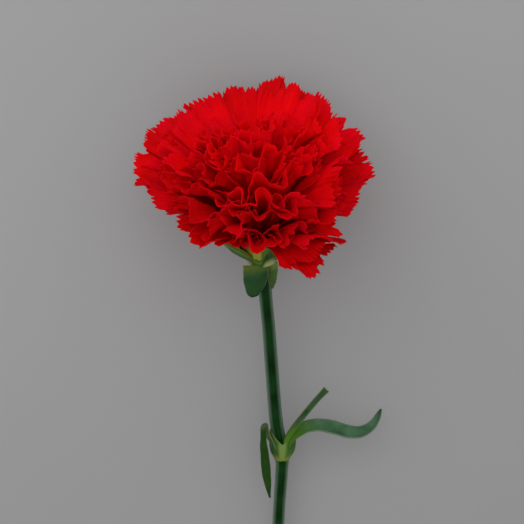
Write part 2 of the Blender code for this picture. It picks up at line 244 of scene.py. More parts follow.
class GeometryGroup(Group):
    """A geometry node tree that takes a geometry and gives one, dressed in a material."""

    def __init__(self, name: str, inputs: Values) -> None:
        """Starts the tree.

        Args:
            name: The tree's name.
            inputs: Each further input's name with its default.
        """
        inputs = {"Geometry": GEOMETRY, **inputs, "Material": MATERIAL}
        super().__init__(name, "GeometryNodeTree", inputs, {"Geometry": GEOMETRY})

    def attribute(self, name: str) -> Socket:
        """The value of a named float attribute."""
        node = self.add("GeometryNodeInputNamedAttribute", {"Name": name}, data_type="FLOAT")
        return node.outputs["Attribute"]

    def seeded_noise(self, values: Values) -> Socket:
        """A noise texture that the tree's own seed changes."""
        values = values | {"W": self.given["Seed"]}
        return self.add("ShaderNodeTexNoise", values, noise_dimensions="4D").outputs[0]

    def finish(self, geometry: object, height: object) -> Tree:
        """Ends the tree: relief along the normals, smooth shading, real geometry, and the material.

        Args:
            geometry: The geometry's socket.
            height: How far each point is raised, in metres.

        Returns:
            The tree.
        """
        normal = self.add("GeometryNodeInputNormal").outputs["Normal"]
        move = self.add("ShaderNodeVectorMath", {0: normal, "Scale": height}, operation="SCALE").outputs[0]
        raised = self.add("GeometryNodeSetPosition", {"Geometry": geometry, "Offset": move}).outputs[0]
        smooth = self.add("GeometryNodeSetShadeSmooth", {"Geometry": raised}).outputs[0]
        real = self.add("GeometryNodeRealizeInstances", {"Geometry": smooth}).outputs[0]
        values = {"Geometry": real, "Material": self.given["Material"]}
        return self.give(Geometry=self.add("GeometryNodeSetMaterial", values).outputs[0])


def ribbed_tube_tree() -> Tree:
    """A round stalk along a curve, with low lengthwise ribs; the curve's own radius sets its thickness.

    Returns:
        The tree.
    """
    inputs = {
        "Step": 0.0008, "Sides": 48, "Rib Count": 7.0, "Rib Height": 0.00012, "Unevenness": 0.0001,
        "Seed": 0.0
    }
    build = GeometryGroup("ribbed_stalk", inputs)
    given, add, maths = build.given, build.add, build.maths
    route = add(
        "GeometryNodeResampleCurve", {"Curve": given["Geometry"], "Length": given["Step"]}, mode="LENGTH"
    )
    ring = add("GeometryNodeCurvePrimitiveCircle", {"Resolution": given["Sides"], "Radius": 1.0})
    marked = []
    for curve, name in ((route, ALONG), (ring, AROUND)):
        factor = add("GeometryNodeSplineParameter").outputs["Factor"]
        values = {"Geometry": curve.outputs[0], "Name": name, "Value": factor}
        marked.append(add("GeometryNodeStoreNamedAttribute", values).outputs[0])
    radius = add("GeometryNodeInputRadius").outputs[0]
    values = {"Curve": marked[0], "Profile Curve": marked[1], "Scale": radius, "Fill Caps": True}
    tube = add("GeometryNodeCurveToMesh", values)
    angle = maths("MULTIPLY", build.attribute(AROUND), 2 * math.pi)
    wave = maths("SINE", maths("MULTIPLY", angle, given["Rib Count"]))
    ribs = maths("MULTIPLY", wave, given["Rib Height"])
    drift = maths("SUBTRACT", build.seeded_noise({"Scale": 160.0}), 0.5)
    return build.finish(tube.outputs[0], maths("MULTIPLY_ADD", drift, given["Unevenness"], ribs))


def veined_blade_tree() -> Tree:
    """Raises parallel veins on a blade, and gives it a fine unevenness.

    Returns:
        The tree.
    """
    inputs = {"Vein Count": 7.0, "Vein Height": 0.00008, "Unevenness": 0.0002, "Seed": 0.0}
    build = GeometryGroup("veined_blade", inputs)
    given, maths = build.given, build.maths
    angle = maths("MULTIPLY", build.attribute(AROUND), given["Vein Count"])
    wave = maths("COSINE", maths("MULTIPLY", angle, math.pi))
    sharp = maths("POWER", maths("MULTIPLY_ADD", wave, 0.5, 0.5), 4.0)
    fade = maths("SUBTRACT", 1.0, maths("POWER", build.attribute(ALONG), 3.0))
    veins = maths("MULTIPLY", maths("MULTIPLY", sharp, fade), given["Vein Height"])
    drift = maths("SUBTRACT", build.seeded_noise({"Scale": 220.0}), 0.5)
    return build.finish(given["Geometry"], maths("MULTIPLY_ADD", drift, given["Unevenness"], veins))


def crimped_petal_tree() -> Tree:
    """Crimps petals more and more towards their margins.

    Returns:
        The tree.
    """
    build = GeometryGroup("crimped_petals", {"Crimp Height": 0.0012, "Crimp Size": 0.006, "Seed": 0.0})
    given, maths = build.given, build.maths
    texture = build.seeded_noise({"Scale": maths("DIVIDE", 1.0, given["Crimp Size"]), "Detail": 1.0})
    drift = maths("MULTIPLY_ADD", texture, 2.0, -1.0)
    grown = maths("POWER", build.attribute(ALONG), 2.0)
    height = maths("MULTIPLY", maths("MULTIPLY", drift, grown), given["Crimp Height"])
    return build.finish(given["Geometry"], height)


@dataclass(frozen=True)
class Trees:
    """The geometry node trees, each built once."""

    tube: Tree = field(default_factory=ribbed_tube_tree)
    blade: Tree = field(default_factory=veined_blade_tree)
    petals: Tree = field(default_factory=crimped_petal_tree)


# ---------------------------------------------------------------- finishes


class Paint(Graph):
    """A Principled material that is being built."""

    def __init__(self, name: str) -> None:
        """Starts the material.

        Args:
            name: The material's name.
        """
        self.made = bpy.data.materials.new(name)
        self.made.use_nodes = True
        super().__init__(self.made.node_tree)
        self.place = self.add("ShaderNodeTexCoord").outputs["Object"]

    def blade_map(self) -> tuple[Socket, Socket, Socket]:
        """The blade's UV map, with its two numbers, across and along.

        Returns:
            The map, its first number and its second.
        """
        uv = self.add("ShaderNodeUVMap", uv_map=BLADE_UV).outputs[0]
        split = self.add("ShaderNodeSeparateXYZ", {0: uv}).outputs
        return uv, split[0], split[1]

    def use(self, group: Tree, **values: object) -> bpy.types.NodeOutputs:
        """Places a node group with these inputs, and gives its outputs."""
        return self.add("ShaderNodeGroup", values, node_tree=group).outputs

    def bump(self, height: object, distance: float) -> Socket:
        """The normal of a relief in which a height of 1 is so many metres tall."""
        values = {"Strength": 1.0, "Distance": distance, "Height": height}
        return self.add("ShaderNodeBump", values).outputs["Normal"]

    def finish(self, values: Values) -> Material:
        """Feeds the shader's inputs, given by name, and gives the material.

        Args:
            values: Each value or socket by the name of its input.

        Returns:
            The material.
        """
        shader = self.tree.nodes["Principled BSDF"].inputs
        for title, value in values.items():
            self.plug(shader[title], value)
        return self.made


@dataclass(frozen=True)
class PetalFinish:
    """Matt velvety red with fine fanning veins, darker and more crimson towards the foot, partly as painted
    shade.
    """

    name: str
    # The margin is darker than the blade: painted shade that dulls the light on the petals' toothed edges.
    margin: Colour = (0.68, 0.0006, 0.0025)
    blade: Colour = (0.88, 0.0005, 0.003)
    # The foot is partly the petals' own deep crimson and partly painted shade deep in the bloom.
    foot: Colour = (0.36, 0.0002, 0.002)
    crimson: Colour = (0.74, 0.0, 0.012)
    patch_scale: float = 95.0
    patch_amount: float = 0.55
    vein_count: float = 9.0
    vein_tint: float = 0.08
    vein_height: float = 0.00004
    shade_swing: float = 0.14
    roughness: float = 0.8
    specular: float = 0.04
    soaking: float = 0.35
    soaking_depth: float = 0.0012

    def build(self, groups: ShaderGroups) -> Material:
        """Makes the material.

        Args:
            groups: The shared effects.

        Returns:
            The material.
        """
        paint = Paint(self.name)
        uv, _, along = paint.blade_map()
        # Darker towards the foot: partly own colour, partly painted shade deep in the bloom.
        lower = paint.blend(paint.ranged(along, 0.15, 0.62), self.foot, self.blade)
        # Painted shade darkens the petals' outer margins.
        body = paint.blend(paint.ranged(along, 0.82, 1.0), lower, self.margin)
        patched = paint.use(
            groups.mottle, Vector=paint.place, Scale=self.patch_scale, Amount=self.patch_amount, First=body,
            Second=self.crimson
        )
        veins = paint.use(groups.veins, Vector=uv, Count=self.vein_count, Wander=0.6)
        tint = paint.maths("MULTIPLY", veins["Mask"], self.vein_tint)
        lined = paint.blend(tint, patched["Color"], self.foot)
        # Each petal's tone, random and with its painted light and shade, from the shade attribute.
        shade = paint.add("ShaderNodeAttribute", attribute_name=SHADE).outputs["Fac"]
        value = paint.maths("MULTIPLY_ADD", shade, self.shade_swing, 1.0)
        shaded = paint.add("ShaderNodeHueSaturation", {"Color": lined, "Value": value}).outputs[0]
        grain = paint.maths("MULTIPLY", paint.noise(paint.place, 2600.0, 1.0), 0.5)
        return paint.finish(
            {
                "Base Color": shaded,
                "Normal": paint.bump(paint.maths("ADD", veins["Height"], grain), self.vein_height),
                "Roughness": self.roughness, "Specular IOR Level": self.specular,
                "Subsurface Weight": self.soaking, "Subsurface Radius": (1.0, 0.1, 0.1),
                "Subsurface Scale": self.soaking_depth
            }
        )


class WaxCoat(Enum):
    """How much grey wax lies on a green surface."""

    BARE = 0.12
    FULL = 0.75


@dataclass(frozen=True)
class GreenFinish:
    """A green skin: dark and light patches, lengthwise veins, wax, other colours at its ends, and painted
    sheen and highlight at its sides.

    The UV map runs from -1 to 1 across and from 0 to 1 along. On a stalk, 0 across is its top.
    """

    name: str
    deep: Colour
    light: Colour
    foot: Colour
    wax: Colour = (0.17, 0.235, 0.205)
    coat: WaxCoat = WaxCoat.BARE
    foot_reach: tuple[float, float] = (0.02, 0.2)
    tip: Colour = (0.03, 0.08, 0.02)
    tip_reach: tuple[float, float] = (1.0, 1.1)
    # side: a lighter band, painted sheen on a stalk's flanks and a painted highlight along a blade's edges
    # and on the sheath's top
    side: Colour = (0.12, 0.17, 0.07)
    sheen_reach: tuple[float, float] = (0.88, 1.0)
    patch_scale: float = 150.0
    vein_count: float = 9.0
    vein_tint: float = 0.35
    vein_height: float = 0.00006
    specular: float = 0.08

    def build(self, groups: ShaderGroups) -> Material:
        """Makes the material.

        Args:
            groups: The shared effects.

        Returns:
            The material.
        """
        paint = Paint(self.name)
        uv, across, along = paint.blade_map()
        patched = paint.use(
            groups.mottle, Vector=paint.place, Scale=self.patch_scale, Amount=0.8, First=self.deep,
            Second=self.light
        )
        veins = paint.use(groups.veins, Vector=uv, Count=self.vein_count, Wander=0.15)
        tint = paint.maths("MULTIPLY", veins["Mask"], self.vein_tint)
        lined = paint.blend(tint, patched["Color"], self.light)
        waxed = paint.use(
            groups.wax, Vector=paint.place, Scale=190.0, Amount=self.coat.value, Under=lined, Wax=self.wax
        )
        # Painted sheen and highlight: the side colour towards -1 and 1 across.
        outward = paint.maths("ABSOLUTE", across)
        sheened = paint.blend(paint.ranged(outward, *self.sheen_reach), waxed["Color"], self.side)
        footed = paint.blend(paint.ranged(along, *self.foot_reach), self.foot, sheened)
        grain = paint.maths("MULTIPLY", paint.noise(paint.place, 1500.0, 2.0), 0.4)
        return paint.finish(
            {
                "Base Color": paint.blend(paint.ranged(along, *self.tip_reach), footed, self.tip),
                "Roughness": waxed["Roughness"],
                "Normal": paint.bump(paint.maths("ADD", veins["Height"], grain), self.vein_height),
                "Specular IOR Level": self.specular
            }
        )


@dataclass(frozen=True)
class PithFinish:
    """The wet pale green of a cut stem, with darker strands."""

    name: str = "cut_pith"
    pith: Colour = (0.42, 0.50, 0.24)
    strand: Colour = (0.16, 0.25, 0.08)

    def build(self, groups: ShaderGroups) -> Material:
        """Makes the material.

        Args:
            groups: The shared effects.

        Returns:
            The material.
        """
        paint = Paint(self.name)
        patched = paint.use(
            groups.mottle, Vector=paint.place, Scale=1800.0, Amount=0.9, First=self.pith, Second=self.strand
        )
        relief = paint.bump(patched["Mask"], 0.00006)
        return paint.finish({"Base Color": patched["Color"], "Normal": relief, "Roughness": 0.42})


@dataclass(frozen=True)
class BackdropFinish:
    """Matt grey paper, darker towards -Y and +X as painted shade of the light's falloff."""

    name: str = "grey_paper"
    grey: Colour = (0.325, 0.325, 0.329)
    painted_shade_grey: Colour = (0.262, 0.262, 0.268)

    def build(self, groups: ShaderGroups) -> Material:
        """Makes the material.

        Args:
            groups: The shared effects.

        Returns:
            The material.
        """
        paint = Paint(self.name)
        # Painted shade: the grey darkens towards -Y and +X, where the light falls off.
        split = paint.add("ShaderNodeSeparateXYZ", {0: paint.place}).outputs
        slope = paint.maths("MULTIPLY_ADD", split[0], -0.35, split[1])
        shaded = paint.blend(paint.ranged(slope, -0.14, 0.20), self.painted_shade_grey, self.grey)
        patched = paint.use(groups.mottle, Vector=paint.place, Scale=9.0, Amount=0.03, First=shaded)
        return paint.finish({"Base Color": patched["Color"], "Roughness": 0.9, "Specular IOR Level": 0.1})


# Each green's side colour is painted light: sheen on the flanks of the stem and shoot, and a highlight along
# the edges of the leaves and bracts and on the top of the sheath.
FINISHES = {
    "petal": PetalFinish("scarlet_petal"),
    "calyx": GreenFinish(
        "calyx_green", (0.008, 0.034, 0.003), (0.040, 0.095, 0.008), (0.30, 0.34, 0.12),
        foot_reach=(0.34, 0.62), tip=(0.08, 0.15, 0.022), tip_reach=(0.7, 1.0), sheen_reach=(1.1, 1.2),
        wax=(0.06, 0.12, 0.06), vein_count=17.0
    ),
    "calyx_lining": GreenFinish(
        "calyx_lining", (0.12, 0.17, 0.015), (0.20, 0.25, 0.03), (0.10, 0.13, 0.02), sheen_reach=(1.1, 1.2),
        vein_count=17.0
    ),
    "claws": GreenFinish(
        "petal_claws", (0.22, 0.26, 0.02), (0.38, 0.40, 0.06), (0.16, 0.22, 0.02), tip=(0.34, 0.006, 0.006),
        tip_reach=(0.42, 0.66), sheen_reach=(1.1, 1.2), vein_count=13.0
    ),
    "bract": GreenFinish(
        "bract_blue_green", (0.009, 0.048, 0.011), (0.026, 0.086, 0.022), (0.10, 0.15, 0.015),
        foot_reach=(0.0, 0.26), tip=(0.010, 0.036, 0.008), tip_reach=(0.86, 0.9), side=(0.16, 0.24, 0.16),
        sheen_reach=(0.93, 1.0), wax=(0.07, 0.12, 0.08)
    ),
    "young_bract": GreenFinish(
        "bract_yellow_green", (0.03, 0.075, 0.006), (0.09, 0.17, 0.02), (0.16, 0.23, 0.06),
        foot_reach=(0.0, 0.4), side=(0.12, 0.20, 0.05)
    ),
    "stem": GreenFinish(
        "stem_green", (0.0003, 0.012, 0.0004), (0.003, 0.034, 0.003), (0.03, 0.07, 0.02),
        foot_reach=(0.0, 0.03), side=(0.115, 0.175, 0.125), sheen_reach=(0.12, 0.40),
        wax=(0.035, 0.080, 0.045), vein_tint=0.4, vein_height=0.00010, specular=0.03
    ),
    "shoot": GreenFinish(
        "shoot_green", (0.005, 0.026, 0.002), (0.022, 0.065, 0.008), (0.060, 0.14, 0.010),
        foot_reach=(0.1, 0.55), side=(0.10, 0.17, 0.06), sheen_reach=(0.14, 0.42), vein_count=5.0
    ),
    "leaf": GreenFinish(
        "leaf_grey_green", (0.018, 0.062, 0.022), (0.040, 0.110, 0.040), (0.045, 0.125, 0.008),
        foot_reach=(0.16, 0.44), tip=(0.03, 0.06, 0.035), tip_reach=(0.9, 1.0), side=(0.11, 0.17, 0.11),
        sheen_reach=(0.86, 1.0), coat=WaxCoat.FULL, wax=(0.080, 0.160, 0.095), vein_count=5.0
    ),
    "leaf_underside": GreenFinish(
        "leaf_deep_green", (0.008, 0.036, 0.002), (0.022, 0.070, 0.006), (0.085, 0.13, 0.05),
        foot_reach=(0.27, 0.36), wax=(0.03, 0.08, 0.01), tip=(0.01, 0.04, 0.005), tip_reach=(0.85, 1.0),
        side=(0.05, 0.10, 0.035), sheen_reach=(0.8, 1.0), vein_count=5.0
    ),
    "sheath": GreenFinish(
        "joint_yellow_green", (0.014, 0.055, 0.003), (0.040, 0.100, 0.012), (0.14, 0.18, 0.025),
        foot_reach=(0.04, 0.34), side=(0.13, 0.20, 0.04), sheen_reach=(0.85, 0.96), tip=(0.10, 0.16, 0.04),
        tip_reach=(0.86, 1.0)
    ),
    "pith": PithFinish(), "backdrop": BackdropFinish()
}


def make_finishes() -> Palette:
    """Makes every finish once, to be shared by the pieces.

    Returns:
        Each material by the name of its finish.
    """
    groups = ShaderGroups()
    made = {name: finish.build(groups) for name, finish in FINISHES.items()}
    log.info("finishes built")
    return made


# ---------------------------------------------------------------- mesh tools


def new_body(name: str, data: bpy.types.ID) -> Body:
    """A new object with this data, in the scene.

    Args:
        name: The object's name.
        data: Its mesh, curve, light or camera.

    Returns:
        The object.
    """
    body = bpy.data.objects.new(name, data)
    bpy.context.scene.collection.objects.link(body)
    return body


def read_all(
    items: bpy.types.bpy_prop_collection, title: str, size: int = 1, kind: type = np.float32
) -> np.ndarray:
    """A property of each of a mesh's items.

    Args:
        items: The items.
        title: The property's name.
        size: How many numbers it has.
        kind: The kind of number.

    Returns:
        All the numbers in a row.
    """
    values = np.zeros(len(items) * size, kind)
    items.foreach_get(title, values)
    return values


def in_part(points: np.ndarray) -> np.ndarray:
    """Turns places on the drawing, in millimetres, into the part's frame, in metres."""
    return (points + np.array([MOUTH[0], MOUTH[1], 0.0])) * MM


def smooth_route(route: np.ndarray, step: float) -> np.ndarray:
    """Points on a smooth curve through the route's points.

    Args:
        route: One row for each point, whose first three numbers are its place.
        step: About how far apart the new points are.

    Returns:
        The new rows, with every number carried along.
    """
    route = np.asarray(route, float)
    ends = np.concatenate([route[:1], route, route[-1:]])
    made = []
    for a, b, c, d in zip(ends, ends[1:], ends[2:], ends[3:]):
        count = max(1, round(float(np.linalg.norm(c[:3] - b[:3])) / step))
        t = np.arange(count)[:, None] / count
        made.append(
            (-t / 2 + t**2 - t**3 / 2) * a
            + (1 - 5 * t**2 / 2 + 3 * t**3 / 2) * b
            + (t / 2 + 2 * t**2 - 3 * t**3 / 2) * c
            + (-(t**2) / 2 + t**3 / 2) * d
        )
    made.append(route[-1:])
    return np.concatenate(made)


@dataclass
class Sheet:
    """A grid of points with what its surface needs to know: rows run along it, columns across."""

    points: np.ndarray
    across: np.ndarray
    along: np.ndarray
    # a petal's tone: random, with painted light and painted shade
    shade: float = 0.0
    closed: bool = False  # whether the last column joins the first

    def faces(self, start: int) -> np.ndarray:
        """Its four-sided faces, for corners numbered from start.

        Args:
            start: The number of its first corner.

        Returns:
            The corners of each face.
        """
        rows, columns = self.points.shape[:2]
        index = np.arange(rows * columns).reshape(rows, columns) + start
        if self.closed:
            index = np.concatenate([index, index[:, :1]], axis=1)
        quads = np.stack([index[:-1, :-1], index[:-1, 1:], index[1:, 1:], index[1:, :-1]], axis=-1)
        return quads.reshape(-1, 4)


def sheet_object(name: str, sheets: list[Sheet]) -> Body:
    """One object with all the sheets, their UV map and their attributes.

    Args:
        name: The object's name.
        sheets: The grids, in the part's frame.

    Returns:
        The object.
    """
    corners, quads, facts, start = [], [], [], 0
    for sheet in sheets:
        size = sheet.points.shape[:2]
        corners.append(sheet.points.reshape(-1, 3))
        quads.append(sheet.faces(start))
        kinds = (sheet.across, sheet.along, sheet.shade)
        facts.append([np.broadcast_to(values, size).ravel() for values in kinds])
        start += len(corners[-1])
    corners, quads = np.concatenate(corners), np.concatenate(quads)
    across, along, shade = np.concatenate(facts, axis=1).astype(np.float32)
    mesh = bpy.data.meshes.new(name)
    mesh.from_pydata(corners.tolist(), [], quads.tolist())
    layer = mesh.uv_layers.new(name=BLADE_UV)
    turned = across[quads]
    wraps = np.ptp(turned, axis=1, keepdims=True) > 1.0
    turned = np.where(wraps & (turned < 0), turned + 2.0, turned)
    layer.data.foreach_set("uv", np.stack([turned, along[quads]], axis=-1).ravel())
    for title, values in ((ALONG, along), (AROUND, across), (SHADE, shade)):
        mesh.attributes.new(title, "FLOAT", "POINT").data.foreach_set("value", values)
    return new_body(name, mesh)


def add_tree(body: Body, tree: Tree, values: Values) -> None:
    """Puts a geometry node tree on an object.

    Args:
        body: The object.
        tree: The tree.
        values: Its inputs by name.
    """
    modifier = body.modifiers.new(tree.name, "NODES")
    modifier.node_group = tree
    for item in tree.interface.items_tree:
        if item.item_type == "SOCKET" and item.in_out == "INPUT" and item.name in values:
            modifier[item.identifier] = values[item.name]


def baked(body: Body) -> Body:
    """Turns an object with its modifiers into a plain mesh object of the same name.

    Args:
        body: A mesh or curve object.

    Returns:
        The mesh object, at the origin.
    """
    name = body.name
    graph = bpy.context.evaluated_depsgraph_get()
    mesh = bpy.data.meshes.new_from_object(body.evaluated_get(graph), depsgraph=graph)
    bpy.data.objects.remove(body)
    mesh.name = name
    return new_body(name, mesh)


def place_piece(piece: Body, slot: str, *nodes: str) -> None:
    """Puts a finished piece on the flower's body.

    Args:
        piece: The object.
        slot: The record's material slot, which is not used.
        nodes: The CAD nodes that it stands for.
    """
    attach(piece, "root")
    if nodes:
        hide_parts(*nodes)
    log.info("%s: %d corners", piece.name, len(piece.data.vertices))


def finish_sheet(body: Body, tree: Tree, values: Values, thickness: float, slot: str, *nodes: str) -> None:
    """Turns a sheet into a finished piece.

    Args:
        body: The sheet's object.
        tree: The geometry node tree that it gets.
        values: The tree's inputs by name.
        thickness: How thick it becomes, in millimetres, half to each side.
        slot: Its material slot.
        nodes: The CAD nodes that it stands for.
    """
    add_tree(body, tree, values)
    modifier = body.modifiers.new("thickness", "SOLIDIFY")
    modifier.thickness = thickness * MM
    modifier.offset = 0.0
    modifier.use_rim = True
    place_piece(baked(body), slot, *nodes)


def relief(count: float, height: float, unevenness: float, seed: float, finish: Material) -> Values:
    """The inputs of a veined blade: its veins' count, and their height and its unevenness in metres.

    Args:
        count: How many veins there are.
        height: Their height, in metres.
        unevenness: The surface's unevenness, in metres.
        seed: The unevenness's seed.
        finish: The material.

    Returns:
        Each input by name.
    """
    return {
        "Vein Count": count, "Vein Height": height, "Unevenness": unevenness, "Seed": seed, "Material": finish
    }


# ---------------------------------------------------------------- the head


@dataclass(frozen=True)
class Head:
    """How the bloom and its calyx sit: the head's Z is the bloom's axis and its Y is towards the surface."""

    tilt: float = 30.0
    lean: float = 5.0
    press_from: float = 4.0
    press_to: float = 0.35

    def turn(self) -> np.ndarray:
        """The rotation from the head's frame to the part's."""
        return np.array(Euler((math.radians(self.tilt - 90), 0, math.radians(self.lean))).to_matrix())

    def placed(self, points: np.ndarray) -> np.ndarray:
        """Turns points of the head's frame, in millimetres, into the part's frame, in metres.

        What would pass through the surface below is pressed flat above it.

        Args:
            points: The points.

        Returns:
            The points in the part's frame.
        """
        turned = points @ self.turn().T + np.array([0.0, 0.0, MOUTH[2]])
        height = turned[..., 2]
        depth = self.press_from - self.press_to
        share = np.clip(1 - (self.press_from - height) / (2 * depth), 0, None)
        soft = self.press_to + depth * share**2
        turned[..., 2] = np.where(height < self.press_from, soft, height)
        return in_part(turned)


@dataclass(frozen=True)
class Petal:
    """One petal: where it points, and its blade's shape. Angles are in degrees, lengths in millimetres."""

    azimuth: float
    tilt: float
    reach: float
    half_width: float
    phase: float
    bend: float = 40.0
    cup: float = -0.05
    ruffle: float = 2.0
    waves: float = 2.6
    frill: float = 0.6
    growth: float = 0.12
    twist: float = 0.0


@dataclass(frozen=True)
class Whorl:
    """A ring of like petals inside the outer ones."""

    count: int
    first: float
    tilt: float
    reach: float
    half_width: float
    bend: float
    cup: float
    ruffle: float
    waves: float
    frill: float
    growth: float


@dataclass
class Bloom:
    """The petals: outer ones listed one by one, and whorls of inner ones drawn by a rule."""

    head: Head = field(default_factory=Head)
    seed: int = 94
    claw: float = 0.12
    rounding: float = 0.13
    foot_radius: float = 4.0
    stagger: float = 3.5
    thickness: float = 0.2
    start: float = 0.05
    tooth_pitch: float = 1.2
    tooth_depth: float = 1.7
    frill_onset: float = 5.0
    fold_onset: float = 2.8
    flatter_below: float = 0.35
    bend_swing: float = 0.16
    # Painted light on the heart's petals, painted shade on the outer petals on the stem's side, and the most
    # that a petal's tone may rise.
    painted_light_heart: float = 2.0
    painted_shade_below: float = 1.2
    lightest: float = 1.0
    rows: int = 26

    guards: tuple[Petal, ...] = (
        Petal(12, 56, 43, 12, 20), Petal(-15, 53, 43, 10, 160, twist=14),
        Petal(-37, 52, 40, 8.5, 40, twist=-8), Petal(-49, 61, 41, 8.5, 240, bend=46, twist=10),
        Petal(-61, 74, 38.5, 10, 300, bend=60), Petal(-102, 51, 25, 6, 0, ruffle=1.2),
        Petal(-99, 50, 36, 10, 80), Petal(-131, 55, 39.5, 7.5, 220, twist=-12), Petal(-150, 50, 41, 10, 100),
        Petal(-173, 49, 48, 10, 10), Petal(163, 50, 47.5, 11, 130), Petal(141, 48, 50, 12, 260),
        Petal(108, 67, 45.5, 14, 50), Petal(72, 67, 45.5, 14, 190), Petal(38, 56, 42, 12, 320)
    )
    front: tuple[Petal, ...] = (
        Petal(-78, 51, 33, 9, 120, bend=50, ruffle=2.4, waves=3.6, frill=1.0),
        Petal(-110, 48, 31, 8, 30, bend=50, ruffle=2.2, waves=3.6, frill=1.0),
        Petal(-92, 49, 28, 9, 200, bend=40, ruffle=1.6, waves=3.4, frill=1.0),
        Petal(-54, 67, 39, 11, 60, bend=52, ruffle=2.0, waves=2.6),
        Petal(-62, 52, 34, 9, 75, bend=48, ruffle=2.0, waves=3.4, frill=1.0)
    )
    under: tuple[Petal, ...] = (
        Petal(90, 62, 44, 13, 70, bend=46), Petal(126, 59, 43, 12, 210, bend=46),
        Petal(54, 59, 42, 12, 300, bend=46), Petal(106, 55, 44, 12, 150, bend=44),
        Petal(74, 55, 44, 12, 15, bend=44), Petal(73, 42, 50.5, 11, 40), Petal(53, 43, 49.5, 10, 200)
    )
    whorls: tuple[Whorl, ...] = (
        Whorl(10, 24, 44, 47.5, 13, 52, 0.05, 2.6, 3.4, 1.0, 0.12),
        Whorl(8, 5, 31, 51, 13, 46, 0.08, 2.3, 3.6, 1.0, 0.06),
        Whorl(7, 40, 19, 48, 11, 38, 0.08, 1.7, 4.2, 1.0, -0.12),
        Whorl(5, 10, 9, 45, 9, 30, 0.08, 1.5, 4.4, 1.0, -0.06)
    )
    fillers: tuple[Whorl, ...] = (
        Whorl(9, 8, 50, 40, 9, 56, 0.03, 2.4, 3.8, 1.2, 0.0),
        Whorl(9, 30, 37, 44, 10, 50, 0.06, 2.2, 4.0, 1.0, -0.06),
        Whorl(9, 14, 26, 46, 9.5, 44, 0.08, 1.8, 4.2, 1.0, -0.14),
        Whorl(7, 50, 14, 46, 9, 34, 0.08, 1.5, 4.4, 1.0, -0.12),
        Whorl(4, 35, 4, 43, 8, 26, 0.08, 1.5, 4.2, 1.0, 0.0)
    )
    crimps: Numbers = (1.1, 1.1, 1.2, 1.5, 1.8, 1.8)
    nod: float = 6.0

    def _drawn(self, whorls: tuple[Whorl, ...], seed: int) -> list[list[Petal]]:
        """The petals of some whorls, each a little different from its neighbours.

        Args:
            whorls: The whorls.
            seed: The draw's seed.

        Returns:
            A list of petals for each whorl.
        """
        draw = random.Random(seed)
        made = []
        for whorl in whorls:
            ring = []
            for k in range(whorl.count):
                azimuth = whorl.first + 360 * k / whorl.count + draw.uniform(-7, 7)
                nod = self.nod * whorl.tilt / 50 * math.sin(math.radians(azimuth))
                ring.append(
                    Petal(
                        azimuth=azimuth,
                        tilt=whorl.tilt + nod + self.stagger * (-1) ** k + draw.uniform(-2, 2),
                        reach=whorl.reach + draw.uniform(-1.5, 1.5),
                        half_width=whorl.half_width * draw.uniform(0.9, 1.1), bend=whorl.bend, cup=whorl.cup,
                        ruffle=whorl.ruffle * draw.uniform(0.8, 1.2),
                        waves=whorl.waves * draw.uniform(0.9, 1.15), frill=whorl.frill, growth=whorl.growth,
                        phase=draw.uniform(0, 360), twist=draw.uniform(-16, 16)
                    )
                )
            made.append(ring)
        return made

    def _margin(self, petal: Petal, draw: random.Random) -> tuple[np.ndarray, np.ndarray]:
        """A petal's toothed margin.

        Args:
            petal: The petal.
            draw: The source of its irregularity.

        Returns:
            The places across the petal of its columns, from -1 to 1, and how far the margin lies beyond the
            petal's plain outline there, in millimetres.
        """
        width = 2.3 * petal.half_width
        count = max(9, round(width / self.tooth_pitch))
        valleys = np.array([(k + draw.uniform(-0.28, 0.28)) / count for k in range(count + 1)])
        valleys[0], valleys[-1] = 0.0, 1.0
        places, heights = [], []
        for k, (low, high) in enumerate(zip(valleys, valleys[1:])):
            tip = low + (high - low) * draw.uniform(0.3, 0.7)
            depth = self.tooth_depth * draw.uniform(0.35, 1.25)
            places += [low, (low + tip) / 2, tip, (tip + high) / 2]
            heights += [-depth, -0.42 * depth, 0.0, -0.42 * depth]
        places.append(1.0)
        heights.append(-self.tooth_depth)
        places, heights = np.array(places), np.array(heights)
        for _ in range(draw.randint(1, 3)):
            middle = draw.uniform(0.12, 0.88)
            notch, spread = draw.uniform(1.6, 4.2), draw.uniform(0.035, 0.08)
            heights -= notch * np.clip(1 - np.abs(places - middle) / spread, 0, 1)
        swell = draw.uniform(0, 2 * math.pi)
        heights += 0.7 * np.sin(5.0 * places + swell)
        return 2 * places - 1, heights

    def _sheet(self, petal: Petal, draw: random.Random) -> Sheet:
        """A petal's blade as a grid in the part's frame.

        Args:
            petal: The petal.
            draw: The source of its irregularity.

        Returns:
            The grid.
        """
        across, edge = self._margin(petal, draw)
        share = np.linspace(0, 1, self.rows)
        along = (self.start + (1 - self.start) * (1 - (1 - share) ** 1.4))[:, None]
        across = across[None, :]
        tilt, azimuth = math.radians(petal.tilt), math.radians(petal.azimuth)
        bend = math.radians(petal.bend) * (1 + self.bend_swing * math.sin(azimuth))
        reach = petal.reach * (1 + petal.growth * math.sin(azimuth))
        share = along * (1 - self.rounding * across**2) + along**5 * edge / reach
        angle = tilt - bend / 2 + bend * share
        radius = self.foot_radius * math.sin(tilt) + reach / bend * (
            math.cos(tilt - bend / 2) - np.cos(angle)
        )
        height = reach / bend * (np.sin(angle) - math.sin(tilt - bend / 2))

